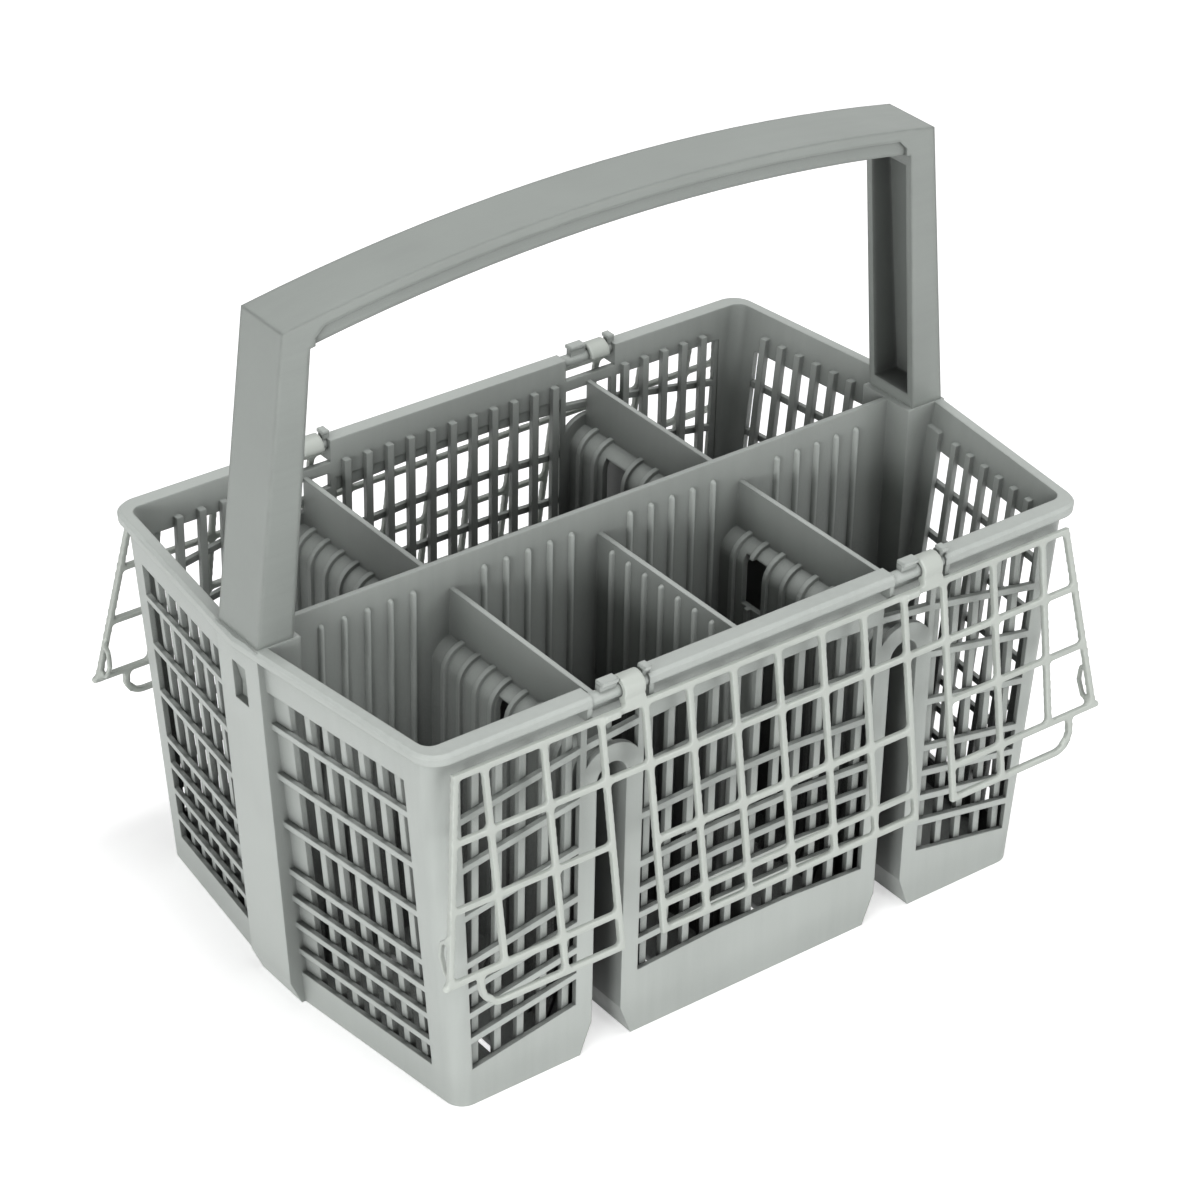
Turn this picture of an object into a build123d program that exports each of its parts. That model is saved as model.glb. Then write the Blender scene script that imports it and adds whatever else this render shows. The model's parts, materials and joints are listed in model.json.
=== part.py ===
from build123d import *
import math
import os

# Sizes in mm. X runs along the basket, -Y is its front, Z is up and the table is z = 0.
# Tub
RIM_Z = 119.0  # top of the rim
HALF_X = 108.9  # outside of an end wall at a rim corner
HALF_Y = 73.2  # outside of a long wall
V_RISE = 8.6  # how far the middle of an end stands out beyond its corners
TAPER = 10.0  # how much further in each end is at the foot
WALL = 1.7
FLOOR = 2.0
CORNER = 5.5
RIM_SIDE = 3.8  # overhang of the rim along the long sides
RIM_END = 2.2  # overhang of the rim along the ends
RIM_H = 3.0
RIM_SOFT = 0.9
PAST = 9.0  # how far a cutter runs past what it cuts
SINK = 1.0  # how far joined pieces run into each other

# Tunnels for the tines of a rack
TUNNEL_X = 50.2
SLOT_HALF = 4.9
TUNNEL_WALL = 1.8
TUNNEL_HALF = SLOT_HALF + TUNNEL_WALL
SLOT_DROP = 30.6
SLOT_TOP = RIM_Z - SLOT_DROP  # centre of the round top
LEAD_IN = 3.7
LEAD_H = 10.0
COLLAR = 1.2
COLLAR_W = 1.6
COLLAR_PARTS = [0.2, 0.4, 0.6]  # parts of HALF_Y
HOLE_LOW = 12.0  # below the centre of the round top
HOLE_HIGH = 4.0
NARROW = 2.8  # half width of a hole between two collars
WIDE = 5.2  # half width of a hole that breaks a collar
# Each hole: which tunnel, part of HALF_Y, half width
HOLES = [(-1, -0.452, NARROW), (1, -0.223, WIDE), (1, 0.683, WIDE), (-1, 0.437, NARROW)]

# Windows, with their heights as parts of RIM_Z
BAR = 2.0
BAR_BACK = 0.25  # the bars' backs stand this much clear of the ribs
ARCH_R = 430.0  # the bars of the long walls are arched
CHORDS = 3  # straight lengths in an arch of the middle panel
SIDE_BARS = [RIM_Z * part for part in (0.882, 0.750, 0.618, 0.486, 0.414, 0.343, 0.271)]
SIDE_TOP = RIM_Z * 0.895
SIDE_FOOT = RIM_Z * 0.189
SIDE_THIN = RIM_Z * 0.084
JAMB = 3.7  # solid strip between a tunnel and a window panel
MIDDLE_HALF = TUNNEL_X - TUNNEL_HALF - JAMB
PANEL_IN = TUNNEL_X + TUNNEL_HALF + JAMB
CORNER_STRIP = 3.9  # solid strip between an outer panel and the corner
PANEL_OUT = HALF_X - TAPER - CORNER_STRIP
PANEL_LEAN = 0.045
END_BARS = [RIM_Z * part for part in (0.795, 0.658, 0.522, 0.386, 0.308, 0.230, 0.152)]
END_TOP = RIM_Z * 0.888
END_FOOT = RIM_Z * 0.088
END_THIN = RIM_Z * 0.080
END_STRIP = 9.7
END_OUT = HALF_Y - END_STRIP

# Ribs behind the windows and on the dividers, and drains
RIB_W = 2.2
RIB = 1.8  # how far a rib stands in from the wall
RIB_DROP = 7.0
RIB_TOP = RIM_Z - RIB_DROP
RIB_FOOT = 6.0
RIB_EDGE = 2.4  # from the edge of a panel to the middle of its first rib
PITCH = MIDDLE_HALF / 5.4
DIVIDER = 1.6
CROSS_DROP = 9.2
CROSS_TOP = RIM_Z - CROSS_DROP
FINE_W = 1.2
FINE = 0.9  # how far a rib of the divider stands out
FINE_SHIFT = 2.8
DRAIN_W = 3.0
DRAIN_IN = 7.0
DRAIN_OUT = END_OUT - 2.5

# Posts and the sockets of the handle
POST_HALF = 10.0
POST_BACK = 4.4
POST_IN = HALF_X - POST_BACK
POST_PROUD = 0.7
POST_TOP_X = HALF_X + V_RISE + POST_PROUD
POST_LEAN = 7.2
POST_FOOT_Z = 8.0
LAND = POST_HALF + 6.0  # end of the solid strip beside a post
SOCKET_SKIN = 3.0
SOCKET = (POST_IN + SOCKET_SKIN, POST_TOP_X - SOCKET_SKIN - 0.5)
SOCKET_HALF = POST_HALF - 2.3
SOCKET_DEEP = 28.0
SOCKET_Z = RIM_Z - SOCKET_DEEP
LATCH_HALF = 3.2
LATCH_H = 12.0
LATCH_TOP = RIM_Z - 9.0
TONGUE = 2.2
TONGUE_H = 6.6
TONGUE_GAP = 0.3
FIT = 0.1  # play of the handle's foot in its socket

# Handle
GRIP_HALF = POST_HALF - 0.5
HANDLE_RISE = 98.5
HANDLE_TOP = RIM_Z + HANDLE_RISE
ARM_BACK = 0.8
ARM_OUT = POST_TOP_X - ARM_BACK
ARM_W = 11.0
ARM_IN = ARM_OUT - ARM_W
SHOULDER_IN = 10.4
SHOULDER_DROP = 9.6
SHOULDER = (ARM_OUT - SHOULDER_IN, HANDLE_TOP - SHOULDER_DROP)
ARM_LEAN = 7.5
GRIP_DROP = 16.1
GRIP_IN = (ARM_IN - ARM_LEAN, HANDLE_TOP - GRIP_DROP)
GRIP_T = 7.9
GRIP_UNDER = HANDLE_TOP - GRIP_T
STRIP_DROP = 3.4
STRIP_IN = 4.3
STRIP_RISE = 5.2
STRIP_SOFT = 2.7
STRIP_DEEP = 1.1
ARM_SKIN = 2.2
CHANNEL_FOOT = 4.0
CHANNEL_TOP = 3.9

# Hinges
PIN_OUT = 1.5
PIN_Y = HALF_Y + PIN_OUT
PIN_DROP = 2.2
PIN_Z = RIM_Z - PIN_DROP
PIN_R = 1.9
HINGE_X = TUNNEL_X + 0.5
NOTCH = 18.2
CHEEK = 1.6
CHEEK_BACK = 0.2
HOOK_PLAY = 0.08
HOOK_T = 2.02
HOOK_R = PIN_R + HOOK_PLAY + HOOK_T
HOOK_W = 7.2
HOOK_MOUTH = 1.0
LUG = (2.0, 7.0)
LUG_OUT = 2.1
TAB_GAP = 0.5
TAB_W = 5.4
TAB_H = 1.3
TAB_BACK = 1.2
TAB_FRONT = 0.9
TILT = 9.5  # lean of a hanging lid

# Lids: distances S are measured from the hinge pin
LID_BAR = 2.2
LID_OFF = 2.6  # from the pin to the middle of the lattice
LID_TOP_S = 4.95
LID_GAP = 2.7  # from the last row of a closed lid to the middle of the basket
LID_DEEP = PIN_Y - LID_GAP
ROW_1 = LID_DEEP * 0.318
OUTER_ROWS = [LID_DEEP * part for part in (0.576, 0.854, 0.993)]
MIDDLE_ROWS = [LID_DEEP * part for part in (0.628, 0.897, 1.0)]
MIDDLE_END = TUNNEL_X - 6.2
MIDDLE_PARTS = [0, 0.341, 0.673, 1]  # columns as parts of MIDDLE_END
OUTER_START = TUNNEL_X + 7.8
LID_END_IN = 5.4
LID_END_OUT = 2.7
LID_END = (HALF_X - LID_END_IN, HALF_X + LID_END_OUT)  # at the hinge and at the third row
SHORT_COL = LID_END[0] - 9.0
LOOP_END = POST_IN - LID_BAR
CLIP_LONG = 14.0
CLIP_OUT = 5.0
CLIP_T = 1.6
CLIP_W = 2.0


def end_x(y, z):
    """Outside of the right-hand end wall at width y and height z."""
    return HALF_X + V_RISE * (1 - abs(y) / HALF_Y) - TAPER * (1 - z / RIM_Z)


def plan(z, side, end):
    """Six corners of the basket's plan at height z, grown by side in Y and by end in X."""
    y = HALF_Y + side
    corner = end_x(y, z) + end
    tip = end_x(0, z) + end
    right = [(corner, -y, z), (tip, 0, z), (corner, y, z)]
    return right + [(-x, -y, z) for x, y, z in right]


def block(low, high, side, end, radius):
    """Tapered six-sided solid of flat faces with its four corners rounded."""
    foot = plan(low, side, end)
    top = plan(high, side, end)
    loops = [foot, top]
    for i in range(6):
        j = (i + 1) % 6
        loops.append([foot[i], foot[j], top[j], top[i]])
    solid = Solid(Shell([Face(Wire.make_polygon(loop)) for loop in loops]))
    corners = []
    for edge in solid.edges():
        upright = edge.bounding_box().size.Z > (high - low) / 2
        if upright and abs(edge.center().Y) > HALF_Y / 2:
            corners.append(edge)
    return fillet(corners, radius)


def span(x0, x1, y0, y1, z0, z1):
    """Box between two corners."""
    centre = Pos((x0 + x1) / 2, (y0 + y1) / 2, (z0 + z1) / 2)
    return centre * Box(x1 - x0, y1 - y0, z1 - z0)


def both_ends(solid):
    """A solid and its mirror image at the other end."""
    return [solid, mirror(solid, Plane.YZ)]


def spread(first, last, count):
    """Evenly spaced places from first to last."""
    return [first + (last - first) * i / (count - 1) for i in range(count)]


def shell():
    """Floor, walls and rim before anything is cut."""
    rim = block(RIM_Z - RIM_H, RIM_Z, RIM_SIDE, RIM_END, CORNER + RIM_END)
    rim = chamfer(rim.faces().sort_by(Axis.Z)[-1].edges(), RIM_SOFT)
    hollow = block(FLOOR, RIM_Z + PAST, -WALL, -WALL, CORNER - WALL)
    return block(0, RIM_Z, 0, 0, CORNER) + rim - hollow


def arch(x, z):
    """Height at x of an arched line that is z high at x = 0."""
    return z - x * x / (2 * ARCH_R)


def arched_window(x0, x1, low, high, lean=0, flat_top=False):
    """Window of a long wall between two arched lines, its far end leaning with the wall."""
    steps = CHORDS if x0 < 0 else 1
    floor = []
    top = []
    for i in range(steps + 1):
        for line, z in ((floor, low), (top, high)):
            x = x0 + (x1 + lean * (arch(x1, z) - SIDE_FOOT) - x0) * i / steps
            line.append((x, z if flat_top and line is top else arch(x, z)))
    face = make_face(Polyline(*floor, *reversed(top), close=True))
    return extrude(Plane.XZ * face, HALF_Y + PAST, both=True)


def mouth_windows():
    """Windows over the right-hand tunnel, which leave a round-topped lip at its mouth."""
    reach = HALF_Y + 2 * PAST
    lip = extrude(Pos(TUNNEL_X, 0, 0) * Plane.XZ * tunnel_face(TUNNEL_HALF + JAMB, 0), reach, both=True)
    ends = (MIDDLE_HALF + BAR, PANEL_IN - BAR)
    beside = arched_window(*ends, SIDE_BARS[1] + BAR / 2, SIDE_BARS[0] - BAR / 2) - lip
    over = arched_window(*ends, SIDE_BARS[0] + BAR / 2, SIDE_TOP + BAR, flat_top=True)
    return [beside, over]


def side_windows():
    """Windows of both long walls at once."""
    tops = [z - BAR / 2 for z in SIDE_BARS]
    feet = [z + BAR / 2 for z in SIDE_BARS[1:]] + [SIDE_FOOT]
    top_bar = SIDE_BARS[0] + BAR / 2
    right = mouth_windows()
    right.append(arched_window(PANEL_IN, PANEL_OUT, top_bar, SIDE_TOP + BAR, PANEL_LEAN, True))
    windows = []
    for high, low in zip(tops, feet):
        windows.append(arched_window(-MIDDLE_HALF, MIDDLE_HALF, low, high))
        right.append(arched_window(PANEL_IN, PANEL_OUT, low, high, PANEL_LEAN))
    for window in right:
        windows += both_ends(window)
    return windows


def end_windows():
    """Windows of both end walls at once, from the corner to the post."""
    tops = [END_TOP] + [z - BAR / 2 for z in END_BARS]
    feet = [z + BAR / 2 for z in END_BARS] + [END_FOOT]
    reach = HALF_X + V_RISE + PAST
    windows = []
    for high, low in zip(tops, feet):
        windows.append(span(-reach, reach, -END_OUT, -POST_HALF, low, high))
        windows.append(span(-reach, reach, POST_HALF, END_OUT, low, high))
    return windows


def thinned_panels():
    """Inside of every window panel, where the bars are thinner than the wall."""
    inset = BAR_BACK - WALL
    room = block(FLOOR, RIM_Z, inset, inset, CORNER - WALL)
    reach = HALF_X + V_RISE
    deep = HALF_Y - WALL - RIB
    lean_top = PANEL_OUT + PANEL_LEAN * SIDE_TOP
    boxes = both_ends(span(PANEL_IN, lean_top, deep, HALF_Y, SIDE_THIN, SIDE_TOP + BAR))
    boxes.append(span(-MIDDLE_HALF, MIDDLE_HALF, deep, HALF_Y, SIDE_THIN, SIDE_TOP))
    boxes += both_ends(span(reach / 2, reach, POST_HALF, END_OUT, END_THIN, END_TOP))
    boxes += [mirror(box, Plane.XZ) for box in boxes]
    return [room & box for box in boxes]


def panel_ribs():
    """Places along X of the ribs behind the middle panel and behind the right-hand one."""
    middle = [PITCH * i for i in range(-5, 6)]
    return middle, spread(PANEL_IN + RIB_EDGE, PANEL_OUT - RIB_EDGE, 5)


def wall_ribs():
    """Upright ribs on the inside of the walls, each cut from a liner of the tub."""
    inner = CORNER - WALL - RIB
    liner = block(RIB_FOOT, RIB_TOP, -WALL, -WALL, CORNER - WALL)
    liner -= block(RIB_FOOT - RIB, RIB_TOP + RIB, -WALL - RIB, -WALL - RIB, inner)
    half = RIB_W / 2
    far = HALF_X + V_RISE
    middle, outer = panel_ribs()
    slabs = []
    for x in middle + outer + [-x for x in outer]:
        slabs.append(span(x - half, x + half, -HALF_Y, HALF_Y, FLOOR, RIM_Z))
    strips = [(y - half, y + half) for y in spread(LAND + PITCH, END_OUT - 2 * RIB_EDGE, 6)]
    strips.append((POST_HALF - SINK, LAND))
    for low, high in strips:
        slabs.append(span(-far, far, low, high, FLOOR, RIM_Z))
        slabs.append(span(-far, far, -high, -low, FLOOR, RIM_Z))
    return [liner & slab for slab in slabs]


def tunnel_face(half, low):
    """Outline of a tunnel in XZ: flared foot that ends at height low, straight sides, round top."""
    foot = half + LEAD_IN * (1 - low / LEAD_H)
    sides = Polyline((-half, SLOT_TOP), (-half, LEAD_H), (-foot, low), (foot, low),
                     (half, LEAD_H), (half, SLOT_TOP))
    return make_face([sides, ThreePointArc((half, SLOT_TOP), (0, SLOT_TOP + half), (-half, SLOT_TOP))])


def tunnels():
    """Walls of the two tunnels with their collars, and the slots that go through them."""
    reach = HALF_Y - WALL / 2
    solids = []
    slots = []
    for x in (-TUNNEL_X, TUNNEL_X):
        place = Pos(x, 0, 0) * Plane.XZ
        solids.append(extrude(place * tunnel_face(TUNNEL_HALF, 0), reach, both=True))
        ring = extrude(place * tunnel_face(TUNNEL_HALF + COLLAR, 0), COLLAR_W / 2, both=True)
        for part in COLLAR_PARTS:
            solids += [Pos(0, HALF_Y * part, 0) * ring, Pos(0, -HALF_Y * part, 0) * ring]
        slots.append(extrude(place * tunnel_face(SLOT_HALF, -FLOOR), HALF_Y + PAST, both=True))
    for side, part, half in HOLES:
        x = side * TUNNEL_X
        y = part * HALF_Y
        slots.append(span(x - TUNNEL_HALF - COLLAR - SINK, x, y - half, y + half,
                          SLOT_TOP - HOLE_LOW, SLOT_TOP + HOLE_HIGH))
    return solids, slots


def dividers():
    """Lengthwise divider with its ribs, and the cross dividers."""
    inside = HALF_Y - WALL
    half = DIVIDER / 2
    solids = [span(-POST_IN - SINK, POST_IN + SINK, -half, half, FLOOR, RIM_Z)]
    solids.append(span(-half, half, -inside, 0, FLOOR, CROSS_TOP))
    for x in (-TUNNEL_X, TUNNEL_X):
        low = SLOT_TOP + SLOT_HALF + TUNNEL_WALL / 2
        solids.append(span(x - half, x + half, -inside, inside, low, CROSS_TOP))
    middle, outer = panel_ribs()
    ribs = [x + FINE_SHIFT for x in middle if x > 0] + outer
    out = half + FINE
    for x in ribs + [-x for x in ribs]:
        solids.append(span(x - FINE_W / 2, x + FINE_W / 2, -out, out, FLOOR, CROSS_TOP))
    return solids


def drains():
    """Slits in the floors of the compartments."""
    slits = []
    for x in (MIDDLE_HALF / 2, (PANEL_IN + PANEL_OUT) / 2):
        slit = span(x - DRAIN_W / 2, x + DRAIN_W / 2, DRAIN_IN, DRAIN_OUT, -FLOOR, 2 * FLOOR)
        slits += both_ends(slit) + both_ends(mirror(slit, Plane.XZ))
    return slits


def post():
    """Right-hand post that carries the handle, its front face leaning like the wall."""
    points = [(POST_IN, 0), (end_x(0, 0), 0), (POST_TOP_X - POST_LEAN, POST_FOOT_Z),
              (POST_TOP_X, RIM_Z), (POST_IN, RIM_Z)]
    face = Plane.XZ * make_face(Polyline(*points, close=True))
    return extrude(face, POST_HALF, both=True)


def post_cuts():
    """Socket and latch window of the right-hand post."""
    socket = span(*SOCKET, -SOCKET_HALF, SOCKET_HALF, SOCKET_Z, RIM_Z + PAST)
    latch = span(SOCKET[1] - SINK, POST_TOP_X + PAST, -LATCH_HALF, LATCH_HALF,
                 LATCH_TOP - LATCH_H, LATCH_TOP)
    return [socket, latch]


def hinges():
    """Notches in the rear rim and the pins, cheeks and tabs that stand in them, then the front's."""
    half = NOTCH / 2
    front = HALF_Y + RIM_SIDE
    tabs = [(-TAB_GAP - TAB_W, -TAB_GAP), (HOOK_W + TAB_GAP, half + SINK)]
    solids = []
    notches = []
    for x in (-HINGE_X, HINGE_X):
        notches.append(span(x - half, x + half, HALF_Y - WALL - RIB, front + PAST, RIB_TOP, RIM_Z + PAST))
        solids.append(Pos(x, PIN_Y, PIN_Z) * Rot(0, 90, 0) * Cylinder(PIN_R, NOTCH + 2 * SINK))
        for edge in (x - half - CHEEK, x + half):
            solids.append(span(edge, edge + CHEEK, HALF_Y - WALL, front - CHEEK_BACK, RIB_TOP, RIM_Z - SINK))
        for low, high in tabs:
            solids.append(span(x + low, x + high, PIN_Y - TAB_BACK, PIN_Y + TAB_FRONT, PIN_Z, RIM_Z + TAB_H))
    front_solids = [mirror(solid, Plane.XZ) for solid in solids]
    return solids + front_solids, notches + [mirror(notch, Plane.XZ) for notch in notches]


def basket_body():
    """The tub: one moulding with its windows, ribs, tunnels, dividers, posts and hinge pins."""
    tunnel_walls, slots = tunnels()
    pins, notches = hinges()
    sockets = []
    for cut in post_cuts():
        sockets += both_ends(cut)
    body = shell() - (side_windows() + end_windows() + thinned_panels() + drains())
    body = body + (wall_ribs() + tunnel_walls + dividers() + both_ends(post()))
    body = body - (slots + sockets + notches)
    return body + pins


def handle_face():
    """Outline of the handle in XZ, from its seam with the posts up to the arched grip."""
    sx, sz = SHOULDER
    gx, gz = GRIP_IN
    outer = Polyline((ARM_IN, RIM_Z), (ARM_OUT, RIM_Z), (sx, sz))
    grip = ThreePointArc((sx, sz), (0, HANDLE_TOP), (-sx, sz))
    other = Polyline((-sx, sz), (-ARM_OUT, RIM_Z), (-ARM_IN, RIM_Z), (-gx, gz))
    under = ThreePointArc((-gx, gz), (0, GRIP_UNDER), (gx, gz))
    return Plane.XZ * make_face([outer, grip, other, under, Line((gx, gz), (ARM_IN, RIM_Z))])


def grip_strip():
    """Recess along the lower front and back of the grip."""
    x = GRIP_IN[0] - STRIP_IN
    z = GRIP_IN[1] + STRIP_RISE
    end = x + STRIP_SOFT
    low = GRIP_IN[1] - PAST
    top = ThreePointArc((-x, z), (0, HANDLE_TOP - STRIP_DROP), (x, z))
    rest = Polyline((x, z), (end, z - STRIP_SOFT), (end, low), (-end, low),
                    (-end, z - STRIP_SOFT), (-x, z))
    face = Plane.XZ * make_face([top, rest])
    slab = extrude(Pos(0, -GRIP_HALF, 0) * face, STRIP_DEEP, both=True)
    return [slab, mirror(slab, Plane.XZ)]


def arm_channel():
    """Channel of the right-hand arm, open to the inside of the basket."""
    lean = SHOULDER_IN / (SHOULDER[1] - RIM_Z)
    low = RIM_Z + CHANNEL_FOOT
    high = GRIP_IN[1] - CHANNEL_TOP
    deep = ARM_OUT - ARM_SKIN
    open_x = GRIP_IN[0] - PAST
    points = [(deep - lean * (low - RIM_Z), low), (deep - lean * (high - RIM_Z), high),
              (open_x, high), (open_x, low)]
    face = Plane.XZ * make_face(Polyline(*points, close=True))
    return extrude(face, GRIP_HALF - ARM_SKIN, both=True)


def plug():
    """Foot of the right-hand arm in its socket, with the tongue of the snap fit."""
    half = SOCKET_HALF - FIT
    foot = span(SOCKET[0] + FIT, SOCKET[1] - FIT, -half, half, SOCKET_Z + SINK, RIM_Z + SINK)
    top = LATCH_TOP - TONGUE_GAP
    low = top - TONGUE_H
    root = SOCKET[1] - SINK
    points = [(root, low), (SOCKET[1] + TONGUE_GAP, low), (SOCKET[1] + TONGUE, top), (root, top)]
    tongue = Plane.XZ * make_face(Polyline(*points, close=True))
    return foot + extrude(tongue, LATCH_HALF - TONGUE_GAP, both=True)


def handle():
    """Carrying handle: arched grip, two channel arms and the feet that snap into the posts."""
    solid = extrude(handle_face(), GRIP_HALF, both=True)
    solid = solid - (grip_strip() + both_ends(arm_channel()))
    return solid + both_ends(plug())


def along_x(x):
    """Plane at x for a lid's profiles, drawn as (up towards the pin, out from the wall)."""
    return Plane(origin=(x, 0, 0), x_dir=(0, 1, 0), z_dir=(1, 0, 0))


def bar(x0, s0, x1, s1):
    """Flat bar of the lattice between two points given as x and distance from the pin."""
    length = math.hypot(x1 - x0, s1 - s0) + LID_BAR
    angle = math.degrees(math.atan2(s0 - s1, x1 - x0))
    middle = Pos((x0 + x1) / 2, -(s0 + s1) / 2)
    return middle * Rot(0, 0, angle) * Rectangle(length, LID_BAR)


def lattice():
    """All bars of a lid as one flat sketch."""
    hinge_end, row_end = LID_END
    row_2, row_3, row_4 = OUTER_ROWS

    def edge(s):
        """Half length of the lid at distance s from the pin."""
        return hinge_end + (row_end - hinge_end) * (s - LID_TOP_S) / (row_3 - LID_TOP_S)

    bars = [bar(-hinge_end, LID_TOP_S, hinge_end, LID_TOP_S)]
    bars.append(bar(-edge(ROW_1), ROW_1, edge(ROW_1), ROW_1))
    for s in MIDDLE_ROWS:
        bars.append(bar(-MIDDLE_END, s, MIDDLE_END, s))
    columns = [MIDDLE_END * part for part in MIDDLE_PARTS]
    for x in sorted(set(columns + [-x for x in columns])):
        bars.append(bar(x, LID_TOP_S, x, LID_DEEP))
    for side in (-1, 1):
        for x in (OUTER_START, (OUTER_START + SHORT_COL) / 2):
            bars.append(bar(side * x, LID_TOP_S, side * x, row_4))
        bars.append(bar(side * SHORT_COL, LID_TOP_S, side * SHORT_COL, row_3))
        bars.append(bar(side * LOOP_END, row_3, side * LOOP_END, row_4))
        bars.append(bar(side * hinge_end, LID_TOP_S, side * row_end, row_3))
        for s, x in ((row_2, edge(row_2)), (row_3, row_end), (row_4, LOOP_END)):
            bars.append(bar(side * OUTER_START, s, side * x, s))
    return Sketch() + bars


def hook(x):
    """C-shaped hook that turns on a hinge pin, with its arm and the small lug beside it."""
    low = LID_OFF - LID_BAR / 2
    high = LID_OFF + LID_BAR / 2
    end = LID_TOP_S + LID_BAR / 2
    ring = Circle(HOOK_R) - Circle(PIN_R + HOOK_PLAY)
    mouth = Polygon((0, 0), (-PAST, HOOK_MOUTH), (-PAST, -PAST), (0, -PAST), align=None)
    arm = Polygon((-end, low), (-LID_OFF, low), (-LID_OFF, high), (-end, high), align=None)
    solid = extrude(along_x(x) * (ring - mouth + arm), HOOK_W)
    lug = span(x - LUG[1], x - LUG[0], -end, LID_BAR - end, LID_OFF, LID_OFF + LUG_OUT)
    return [solid, lug]


def bow(long, out):
    """Points of a bow, as (along, out)."""
    turns = [math.pi * i / 4 for i in range(5)]
    return [(long * (1 - math.cos(turn)) / 2, out * math.sin(turn)) for turn in turns]


def corner_clip(side):
    """Bowed clip at a free corner of a lid, on the wall's side."""
    inner = [(up + CLIP_T, out) for up, out in bow(CLIP_LONG - 2 * CLIP_T, CLIP_OUT - CLIP_T)]
    loop = bow(CLIP_LONG, CLIP_OUT) + inner[::-1]
    points = [(up - OUTER_ROWS[1], LID_OFF - out) for up, out in loop]
    middle = side * (LID_END[1] - CLIP_W / 2)
    return extrude(along_x(middle) * make_face(Polyline(*points, close=True)), CLIP_W / 2, both=True)


def lid():
    """Front lid as it hangs outside the basket."""
    mesh = extrude(Pos(0, 0, LID_OFF - LID_BAR / 2) * lattice(), LID_BAR)
    extras = hook(-HINGE_X) + hook(HINGE_X) + [corner_clip(-1), corner_clip(1)]
    flat = mesh + extras
    lean = math.radians(TILT)
    out = (0, -math.cos(lean), math.sin(lean))
    return Plane(origin=(0, -PIN_Y, PIN_Z), x_dir=(1, 0, 0), z_dir=out) * flat


os.makedirs("parts", exist_ok=True)
front = lid()
nodes = {
    "basket_body": basket_body(),
    "handle": handle(),
    "front_lid": front,
    "rear_lid": mirror(front, Plane.XZ),
}
for name, solid in nodes.items():
    export_step(solid, f"parts/{name}.step")
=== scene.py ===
import json
import math

import bmesh
import bpy
import numpy as np
from mathutils import Matrix, Vector


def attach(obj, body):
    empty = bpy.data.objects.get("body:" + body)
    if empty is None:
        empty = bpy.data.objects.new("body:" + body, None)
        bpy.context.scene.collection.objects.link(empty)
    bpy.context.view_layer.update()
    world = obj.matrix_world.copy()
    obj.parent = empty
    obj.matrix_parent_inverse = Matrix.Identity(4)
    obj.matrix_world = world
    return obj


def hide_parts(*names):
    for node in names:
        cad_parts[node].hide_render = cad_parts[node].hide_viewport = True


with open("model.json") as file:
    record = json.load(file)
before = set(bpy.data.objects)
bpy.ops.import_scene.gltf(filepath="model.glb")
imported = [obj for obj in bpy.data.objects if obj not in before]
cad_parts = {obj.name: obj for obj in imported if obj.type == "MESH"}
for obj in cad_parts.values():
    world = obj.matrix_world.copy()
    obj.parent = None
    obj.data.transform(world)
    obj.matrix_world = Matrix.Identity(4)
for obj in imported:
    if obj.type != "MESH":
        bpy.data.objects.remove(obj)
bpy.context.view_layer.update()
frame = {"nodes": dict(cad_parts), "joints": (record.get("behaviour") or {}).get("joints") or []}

# Camera of the photo: degrees, metres, and millimetres for the lens and the sensor.
VIEW_AZ = -37.653
VIEW_EL = 31.996
VIEW_ROLL = 1.273
VIEW_TARGET = Vector((0.00067, -0.00051, 0.0873))
VIEW_DISTANCE = 1.0261
LENS = 109.62
SENSOR = 36

# Greys of the polypropylene, as sRGB on a scale of 255, and gains on their linear values. The last two gains
# paint highlights on edges, and black is what the painted shade darkens towards.
BODY_GREY = (174, 179, 175)
HANDLE_GREY = (143, 148, 144)
LID_GREY = (178, 183, 177)
CLOUD_GAINS = (0.93, 1.05)
STREAK_GAIN = 1.16
SPECK_GAIN = 0.6
HIGHLIGHT_GAIN = 1.45
EDGE_GAIN = 1.3
BLACK = (0, 0, 0, 1)

# Noises of the plastic and of its painted edge highlight: each one's scale and detail, the span taken from
# none to full, and its share.
CLOUD_NOISE = (24, 3)
STREAK_NOISE = (420, 3)
SPECK_NOISE = (2600, 2)
HIGHLIGHT_NOISE = (160, 3)
GRAIN_NOISE = (3200, 3)
FLOW_SPAN = (0.3, 0.7)
SPECK_SPAN = (0.62, 0.74)
HIGHLIGHT_SPAN = (0.35, 0.65)
STREAK_SHARE = 0.3
SPECK_SHARE = 0.12
HIGHLIGHT_SHARES = (0.25, 0.75)

# How the streaks are drawn out: upright, along the handle, or not at all.
UPRIGHT = (1, 1, 0.06)
LENGTHWISE = (0.06, 1, 1)
EVEN = (0.3, 0.3, 0.3)

# Sheen, grain and edges of the plastic, with the painted highlight on its edges. Lengths are in metres.
ROUGH_SPAN = (0.41, 0.53)  # between the streaks, and on them
IOR = 1.49
GRAIN_STRENGTH = 0.22
GRAIN_HEIGHT = 0.00012
STREAK_RELIEF = 0.7
EDGE_RADIUS = 0.0007
HANDLE_RADIUS = 0.0018
EDGE_COSINES = (0.98, 0.78)  # how far the softened normal turns, from no edge to a full one
EDGE_POINTS = (0.515, 0.555)  # the same, by the pointiness of a dense mesh
EDGE_SHOW = 0.3  # share of the painted edge highlight that stays over the painted shade in hollows
SHADE_SAMPLES = 2

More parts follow.
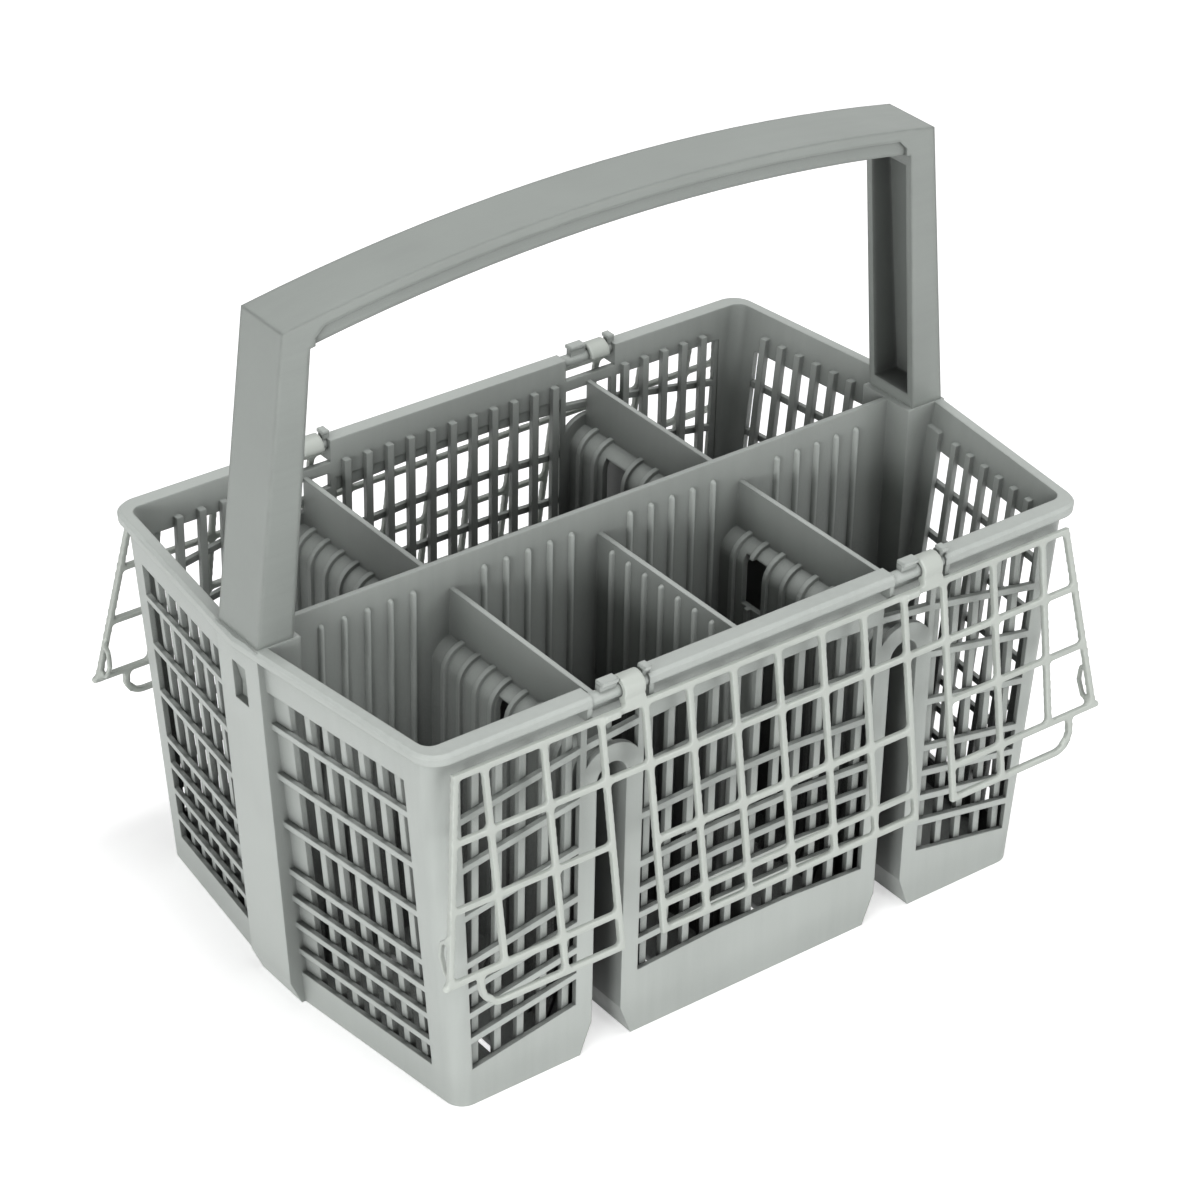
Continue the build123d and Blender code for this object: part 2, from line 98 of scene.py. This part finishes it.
# Painted shade in hollows, darker with depth: how far they are felt, from what openness, and how dark they
# get. The crevice ones paint a contact shade into narrow gaps, also where other pieces come close, fading
# out near the floor.
RECESS = 0.13
RECESS_SPAN = (0.18, 0.75)
DEEP_Z = 0.035
RIM_Z = 0.119
DEEP_SHADE = 0.02
TOP_SHADE = 0.8
LID_SHADE = 1.0
CREVICE = 0.012
CREVICE_SPAN = (0.5, 1.0)
CREVICE_Z = 0.02
CREVICE_SHADE = 0.62

# Lids, metres and degrees: how finely the lattice is rounded, how much thinner it gets,
# and its knobs, loops and fillets.
WELD = 0.00001
VOXEL = 0.00044
SMOOTHING = 3
SMOOTH_RATE = 0.5
THINNER = 0.00027
TIP = 0.001
KNOB = 0.0014
KNOB_ROUNDS = 2
BAR_HALF = 0.001
LOOP_RADIUS = 0.006
LOOP_ZONE_X = 0.09
TILT = 9.5
HOOK_ZONE = 0.0085
FILLET_STEPS = 90
FILLET_RATE = 0.6

# Collars on the tunnels between those of the CAD, metres.
TUNNEL_X = 0.0502
TUNNEL_HALF = 0.0067
TUNNEL_ROUND = 0.0884
FLARE = 0.0037
FLARE_Z = 0.01
FLOOR_Z = 0.002
COLLAR = 0.0012
COLLAR_SINK = COLLAR / 4
COLLAR_W = 0.0016
COLLAR_PITCH = 0.00732
COLLAR_STEPS = (1, 3, 5, 7, 8, 9)
BROKEN = (1, 7)  # right-hand tunnel, step to the rear: a hole is there
ARC_STEPS = 16

# Bent lips on the hinge tabs, metres. A tab's ends are measured from its hinge.
HINGE_X = 0.0507
TAB_ENDS = ((-0.0059, -0.0005), (0.0077, 0.0101))
LIP_LOW = 0.0034
LIP_HIGH = 0.0046
LIP_BACK = 0.0014
LIP_FRONT = 0.0019
LIP_SOFT = 0.0002
LIP_ROUNDS = 3

# Rounded beads over the divider's ribs and on the middle cross divider, metres.
BEAD_HALF = 0.001
BEAD_OUT = 0.0022
BEAD_PITCH = 0.00738
BEAD_STARTS = (0.01016, 0.06303)
BEAD_COUNT = 5
BEAD_TOP = 0.1135
CROSS_START = 0.0079
CROSS_COUNT = 8
CROSS_TOP = 0.108
BEAD_STEPS = 12
BEAD_END = (0, 30, 60, 80)  # degrees round the top end

# Studio. A lamp has a name, a place and a size in metres, and a power in watts.
LAMPS = (
    ("key", (-1.3, -0.6, 0.32), 0.6, 10.6),
    ("fill", (0.25, -1.35, 0.25), 0.8, 6.5),
    ("top", (0.1, -0.2, 1.6), 0.9, 16.5),
)
WORLD = 0.2
FLOOR_SIZE = 12
FLOOR_GREY = 0.93
FLOOR_LIFT = 0.5


def linear(colour, gain=1.0):
    """An sRGB colour on a scale of 255 as linear RGBA."""
    parts = [c / 255 for c in colour]
    parts = [c / 12.92 if c <= 0.04045 else ((c + 0.055) / 1.055) ** 2.4 for c in parts]
    return [min(1.0, c * gain) for c in parts] + [1.0]


class Nodes:
    """A short way to add and join shader nodes."""

    def __init__(self, tree):
        self.tree = tree
        tree.nodes.clear()

    def add(self, kind, inputs=None, **settings):
        """A node whose inputs are links where sockets are given, and plain values otherwise."""
        node = self.tree.nodes.new(kind)
        for name, value in settings.items():
            setattr(node, name, value)
        for socket, value in (inputs or {}).items():
            if isinstance(value, bpy.types.NodeSocket):
                self.tree.links.new(value, node.inputs[socket])
            else:
                node.inputs[socket].default_value = value
        return node

    def math(self, operation, a, b=0.0, clamp=False):
        node = self.add("ShaderNodeMath", {0: a, 1: b}, operation=operation, use_clamp=clamp)
        return node.outputs[0]

    def noise(self, place, scale, detail, stretch=(1, 1, 1)):
        mapped = self.add("ShaderNodeMapping", {"Vector": place, "Scale": stretch})
        inputs = {"Vector": mapped.outputs[0], "Scale": scale, "Detail": detail}
        node = self.add("ShaderNodeTexNoise", inputs)
        return node.outputs["Fac"]

    def ramp(self, value, low, high, to_low, to_high):
        node = self.add("ShaderNodeMapRange", {0: value, 1: low, 2: high, 3: to_low, 4: to_high})
        return node.outputs[0]

    def openness(self, distance, alone=False):
        """One in the open and less in a hollow. Alone, only the piece itself can shade it."""
        settings = {"samples": SHADE_SAMPLES, "only_local": alone}
        node = self.add("ShaderNodeAmbientOcclusion", {"Distance": distance}, **settings)
        return node.outputs["AO"]

    def mix(self, factor, a, b):
        node = self.add("ShaderNodeMix", {0: factor, 6: a, 7: b}, data_type="RGBA")
        return node.outputs[2]


def plastic(name, grey, streaks, top_shade, alone=True, dense=False, crevices=None, radius=EDGE_RADIUS):
    """Satin grey plastic with flow streaks, a fine grain, painted highlights along its edges and painted
    shade in its hollows, darker the deeper they lie.
    """
    material = bpy.data.materials.new(name)
    material.use_nodes = True
    n = Nodes(material.node_tree)
    place = n.add("ShaderNodeTexCoord").outputs["Object"]
    soft = n.add("ShaderNodeBevel", {"Radius": radius}, samples=SHADE_SAMPLES).outputs[0]
    form = n.add("ShaderNodeNewGeometry").outputs
    # Mask for the painted edge highlight.
    if dense:
        edge = n.ramp(form["Pointiness"], *EDGE_POINTS, 0.0, 1.0)
    else:
        turn = n.add("ShaderNodeVectorMath", {0: soft, 1: form["True Normal"]}, operation="DOT_PRODUCT")
        edge = n.ramp(turn.outputs["Value"], *EDGE_COSINES, 0.0, 1.0)

    cloud = n.ramp(n.noise(place, *CLOUD_NOISE), *FLOW_SPAN, 0.0, 1.0)
    streak = n.ramp(n.noise(place, *STREAK_NOISE, streaks), *FLOW_SPAN, 0.0, 1.0)
    speck = n.ramp(n.noise(place, *SPECK_NOISE), *SPECK_SPAN, 0.0, 1.0)
    dull, bright = CLOUD_GAINS
    colour = n.mix(cloud, linear(grey, dull), linear(grey, bright))
    colour = n.mix(n.math("MULTIPLY", streak, STREAK_SHARE), colour, linear(grey, STREAK_GAIN))
    colour = n.mix(n.math("MULTIPLY", speck, SPECK_SHARE), colour, linear(grey, SPECK_GAIN))
    # Painted highlight along the edges, broken up by noise.
    edge_highlight = n.math("MULTIPLY", edge, n.ramp(n.noise(place, *HIGHLIGHT_NOISE), *HIGHLIGHT_SPAN, *HIGHLIGHT_SHARES))
    colour = n.mix(edge_highlight, colour, linear(grey, HIGHLIGHT_GAIN))
    # Painted shade in the hollows, darker the lower they lie.
    height = n.add("ShaderNodeSeparateXYZ", {0: place}).outputs["Z"]
    shade = n.ramp(height, DEEP_Z, RIM_Z, DEEP_SHADE, top_shade)
    colour = n.mix(n.ramp(n.openness(RECESS, alone), *RECESS_SPAN, shade, 1.0), BLACK, colour)
    # Painted contact shade in narrow crevices and behind close pieces, fading out near the floor.
    if crevices:
        depth = n.ramp(height, 0.0, CREVICE_Z, 1.0, crevices)
        colour = n.mix(n.ramp(n.openness(CREVICE), *CREVICE_SPAN, depth, 1.0), BLACK, colour)
    # Part of the painted edge highlight, laid back over the painted shade.
    colour = n.mix(n.math("MULTIPLY", edge_highlight, EDGE_SHOW), colour, linear(grey, EDGE_GAIN))

    relief = n.math("ADD", n.noise(place, *GRAIN_NOISE), n.math("MULTIPLY", streak, STREAK_RELIEF))
    bump = n.add(
        "ShaderNodeBump",
        {"Strength": GRAIN_STRENGTH, "Distance": GRAIN_HEIGHT, "Height": relief, "Normal": soft},
    )
    rough = n.ramp(streak, 0.0, 1.0, *ROUGH_SPAN)
    shader = n.add(
        "ShaderNodeBsdfPrincipled",
        {"Base Color": colour, "Roughness": rough, "IOR": IOR, "Normal": bump.outputs[0]},
    )
    n.add("ShaderNodeOutputMaterial", {"Surface": shader.outputs[0]})
    return material


def paint(obj, material):
    """Give a piece its one material."""
    obj.data.materials.clear()
    obj.data.materials.append(material)


def lid_corners(mesh):
    """The two far ends of a lid's outer frame, at the corner row."""
    corners = []
    for side in (-1, 1):
        reach = max(side * v.co.x for v in mesh.vertices)
        tips = [v.co for v in mesh.vertices if side * v.co.x > reach - TIP]
        corners.append(sum(tips, Vector()) / len(tips))
    return corners


def fill_corners(mesh):
    """Grow a fillet wherever bars meet, by moving only hollow spots outwards. The hooks stay as they are."""
    count = len(mesh.vertices)
    place = np.empty(count * 3)
    mesh.vertices.foreach_get("co", place)
    place = place.reshape(count, 3)
    ends = np.empty(len(mesh.edges) * 2, dtype=int)
    mesh.edges.foreach_get("vertices", ends)
    ends = ends.reshape(-1, 2)
    near = np.concatenate((ends[:, 0], ends[:, 1]))
    far = np.concatenate((ends[:, 1], ends[:, 0]))
    links = np.bincount(near, minlength=count)
    free = place[:, 2] < place[:, 2].max() - HOOK_ZONE
    normal = np.empty(count * 3)
    for _ in range(FILLET_STEPS):
        mesh.vertex_normals.foreach_get("vector", normal)
        out = normal.reshape(count, 3)
        middle = np.stack([np.bincount(near, place[far, k], count) / links for k in range(3)], axis=1)
        lift = ((middle - place) * out).sum(axis=1)
        lift = np.where(free, np.maximum(lift, 0), 0)
        place += FILLET_RATE * lift[:, None] * out
        mesh.vertices.foreach_set("co", place.ravel())
        mesh.update()


def round_loops(mesh, tilt):
    """Bend the square lower corners of a lid's two end loops into arcs."""
    upright = Matrix.Rotation(math.radians(tilt), 4, "X")
    mesh.transform(upright)
    ends = [v.co for v in mesh.vertices if abs(v.co.x) > LOOP_ZONE_X]
    low = min(co.z for co in ends) + BAR_HALF
    foot = [abs(co.x) for co in ends if co.z < low + LOOP_RADIUS]
    far = max(foot) - BAR_HALF
    for co in ends:
        side = math.copysign(1, co.x)
        across = far - abs(co.x)
        up = co.z - low
        if max(across, up) > LOOP_RADIUS:
            continue
        along = LOOP_RADIUS - across if across > up else LOOP_RADIUS + up
        out = LOOP_RADIUS - min(across, up)
        turn = math.pi / 4 * along / LOOP_RADIUS
        co.x = side * (far - LOOP_RADIUS + out * math.sin(turn))
        co.z = low + LOOP_RADIUS - out * math.cos(turn)
    mesh.transform(upright.inverted())


def rounded_lid(node, body):
    """The lid's lattice with round bars, filleted crossings, corner knobs and rounded loops."""
    mesh = frame["nodes"][node].data.copy()
    work = bmesh.new()
    work.from_mesh(mesh)
    bmesh.ops.remove_doubles(work, verts=work.verts, dist=WELD)
    for corner in lid_corners(mesh):
        knob = Matrix.Translation(corner)
        bmesh.ops.create_icosphere(work, subdivisions=KNOB_ROUNDS, radius=KNOB, matrix=knob)
    work.to_mesh(mesh)
    work.free()
    lid = bpy.data.objects.new(node + "_moulding", mesh)
    bpy.context.collection.objects.link(lid)
    remesh = lid.modifiers.new("round", "REMESH")
    remesh.mode = "VOXEL"
    remesh.voxel_size = VOXEL
    remesh.use_smooth_shade = True
    smooth = lid.modifiers.new("soften", "SMOOTH")
    smooth.factor = SMOOTH_RATE
    smooth.iterations = SMOOTHING
    thin = lid.modifiers.new("thin", "DISPLACE")
    thin.strength = -THINNER
    thin.mid_level = 0
    ready = lid.evaluated_get(bpy.context.evaluated_depsgraph_get())
    lid.data = bpy.data.meshes.new_from_object(ready)
    lid.modifiers.clear()
    fill_corners(lid.data)
    front = sum(v.co.y for v in lid.data.vertices) < 0
    round_loops(lid.data, TILT if front else -TILT)
    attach(lid, body)
    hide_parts(node)
    return lid


def basket_piece(name, work, smooth=False):
    """A piece made from a finished bmesh, riding on the basket."""
    mesh = bpy.data.meshes.new(name)
    work.to_mesh(mesh)
    work.free()
    if smooth:
        mesh.shade_smooth()
    obj = bpy.data.objects.new(name, mesh)
    bpy.context.collection.objects.link(obj)
    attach(obj, "basket")
    return obj


def collar_outline(half):
    """Points in XZ over a tunnel of this half width, from one flared foot to the other."""
    foot = half + FLARE * (1 - FLOOR_Z / FLARE_Z)
    turns = [math.pi * i / ARC_STEPS for i in range(ARC_STEPS + 1)]
    top = [(-half * math.cos(turn), TUNNEL_ROUND + half * math.sin(turn)) for turn in turns]
    return [(-foot, FLOOR_Z), (-half, FLARE_Z)] + top + [(half, FLARE_Z), (foot, FLOOR_Z)]


def add_collar(work, x, y):
    """One raised band over the tunnel at x."""
    sections = []
    over = collar_outline(TUNNEL_HALF + COLLAR)
    under = collar_outline(TUNNEL_HALF - COLLAR_SINK)
    for outer, inner in zip(over, under):
        ring = [(inner, -1), (outer, -1), (outer, 1), (inner, 1)]
        sections.append([work.verts.new((x + px, y + side * COLLAR_W / 2, pz)) for (px, pz), side in ring])
    for a, b in zip(sections, sections[1:]):
        for i in range(4):
            j = (i + 1) % 4
            work.faces.new((a[i], b[i], b[j], a[j]))
    work.faces.new(sections[0])
    work.faces.new(reversed(sections[-1]))


def collars():
    """The bands over both tunnels that the CAD leaves out."""
    work = bmesh.new()
    for tunnel in (-1, 1):
        for step in COLLAR_STEPS:
            for way in (-1, 1):
                if (tunnel, way * step) != BROKEN:
                    add_collar(work, tunnel * TUNNEL_X, way * step * COLLAR_PITCH)
    bmesh.ops.recalc_face_normals(work, faces=work.faces)
    return basket_piece("tunnel_collars", work)


def tab_lips():
    """The lips that bend outwards over the pins, on the tabs beside each hinge."""
    work = bmesh.new()
    for joint in frame["joints"]:
        _, pin_y, pin_z = joint["pos_m"]
        out = math.copysign(1, pin_y)
        for hinge in (-HINGE_X, HINGE_X):
            for low, high in TAB_ENDS:
                place = Vector((hinge + (low + high) / 2, pin_y, pin_z))
                place += Vector((0, out * (LIP_FRONT - LIP_BACK) / 2, (LIP_LOW + LIP_HIGH) / 2))
                size = (high - low, LIP_FRONT + LIP_BACK, LIP_HIGH - LIP_LOW)
                shape = Matrix.Translation(place) @ Matrix.Diagonal((*size, 1))
                bmesh.ops.create_cube(work, size=1, matrix=shape)
    bmesh.ops.bevel(work, geom=work.edges, offset=LIP_SOFT, segments=LIP_ROUNDS, affect="EDGES")
    return basket_piece("hinge_lips", work)


def add_bead(work, x, y, half_x, half_y, top):
    """One upright bead with a round top, which stands out of both faces of a divider."""
    levels = [(FLOOR_Z, 1.0)]
    for turn in map(math.radians, BEAD_END):
        levels.append((top - BEAD_HALF * (1 - math.sin(turn)), math.cos(turn)))
    rings = []
    for z, scale in levels:
        turns = [2 * math.pi * i / BEAD_STEPS for i in range(BEAD_STEPS)]
        places = [(x + scale * half_x * math.cos(t), y + scale * half_y * math.sin(t), z) for t in turns]
        rings.append([work.verts.new(place) for place in places])
    for a, b in zip(rings, rings[1:]):
        for i in range(BEAD_STEPS):
            j = (i + 1) % BEAD_STEPS
            work.faces.new((a[i], a[j], b[j], b[i]))
    work.faces.new(reversed(rings[0]))
    work.faces.new(rings[-1])


def beads():
    """The beads of the lengthwise divider and of the middle cross divider."""
    work = bmesh.new()
    for start in BEAD_STARTS:
        for i in range(BEAD_COUNT):
            for side in (-1, 1):
                add_bead(work, side * (start + i * BEAD_PITCH), 0, BEAD_HALF, BEAD_OUT, BEAD_TOP)
    for i in range(CROSS_COUNT):
        add_bead(work, 0, -CROSS_START - i * BEAD_PITCH, BEAD_OUT, BEAD_HALF, CROSS_TOP)
    return basket_piece("divider_beads", work, smooth=True)


def camera():
    """The photo's camera, rolled a little about its line of sight."""
    az, el, roll = (math.radians(a) for a in (VIEW_AZ, VIEW_EL, VIEW_ROLL))
    back = Vector((math.sin(az) * math.cos(el), -math.cos(az) * math.cos(el), math.sin(el)))
    right = (-back).cross(Vector((0, 0, 1))).normalized()
    up = right.cross(-back)
    across = math.cos(roll) * right + math.sin(roll) * up
    above = math.cos(roll) * up - math.sin(roll) * right
    data = bpy.data.cameras.new("camera")
    data.lens = LENS
    data.sensor_width = SENSOR
    obj = bpy.data.objects.new("camera", data)
    turn = Matrix((across, above, back)).transposed().to_4x4()
    obj.matrix_world = Matrix.Translation(VIEW_TARGET + VIEW_DISTANCE * back) @ turn
    bpy.context.collection.objects.link(obj)
    bpy.context.scene.camera = obj


def lamp(name, place, size, power):
    """A round lamp that faces the middle of the view."""
    data = bpy.data.lights.new(name, "AREA")
    data.shape = "DISK"
    data.size = size
    data.energy = power
    obj = bpy.data.objects.new(name, data)
    obj.location = place
    toward = VIEW_TARGET - Vector(place)
    obj.rotation_euler = toward.to_track_quat("-Z", "Y").to_euler()
    bpy.context.collection.objects.link(obj)


def looked_at(n):
    """One where the camera, a gloss or glass looks at the backdrop, and zero for its light on the object."""
    path = n.add("ShaderNodeLightPath").outputs
    seen = n.math("ADD", path["Is Camera Ray"], path["Is Glossy Ray"])
    return n.math("ADD", seen, path["Is Transmission Ray"], clamp=True)


def floor():
    """A pale floor that takes shadows and is lifted towards white where it is looked at."""
    bpy.ops.mesh.primitive_plane_add(size=FLOOR_SIZE, location=(0, 0, 0))
    obj = bpy.context.object
    obj.name = "floor"
    material = bpy.data.materials.new("floor")
    material.use_nodes = True
    n = Nodes(material.node_tree)
    seen = looked_at(n)
    diffuse = n.add("ShaderNodeBsdfDiffuse", {"Color": [FLOOR_GREY] * 3 + [1.0]})
    glow = n.add("ShaderNodeEmission", {"Strength": n.math("MULTIPLY", seen, FLOOR_LIFT)})
    both = n.add("ShaderNodeAddShader", {0: diffuse.outputs[0], 1: glow.outputs[0]})
    n.add("ShaderNodeOutputMaterial", {"Surface": both.outputs[0]})
    obj.data.materials.append(material)


def sky():
    """White where it is looked at, and a weaker light on the object."""
    world = bpy.data.worlds.new("studio")
    world.use_nodes = True
    bpy.context.scene.world = world
    n = Nodes(world.node_tree)
    level = n.ramp(looked_at(n), 0.0, 1.0, WORLD, 1.0)
    light = n.add("ShaderNodeBackground", {"Color": (1, 1, 1, 1), "Strength": level})
    n.add("ShaderNodeOutputWorld", {"Surface": light.outputs[0]})


body_look = plastic("basket plastic", BODY_GREY, UPRIGHT, TOP_SHADE, crevices=CREVICE_SHADE)
handle_look = plastic("handle plastic", HANDLE_GREY, LENGTHWISE, DEEP_SHADE, radius=HANDLE_RADIUS)
lid_look = plastic("lid plastic", LID_GREY, EVEN, LID_SHADE, dense=True)
band_look = plastic("collar plastic", BODY_GREY, UPRIGHT, TOP_SHADE, alone=False)
paint(frame["nodes"]["basket_body"], body_look)
paint(collars(), band_look)
paint(tab_lips(), band_look)
paint(beads(), band_look)
paint(frame["nodes"]["handle"], handle_look)
for lid_node, lid_body in (("front_lid", "front_cover"), ("rear_lid", "rear_cover")):
    paint(rounded_lid(lid_node, lid_body), lid_look)

floor()
sky()
for lamp_name, lamp_place, lamp_size, lamp_power in LAMPS:
    lamp(lamp_name, lamp_place, lamp_size, lamp_power)
camera()
bpy.context.scene.view_settings.view_transform = "Standard"
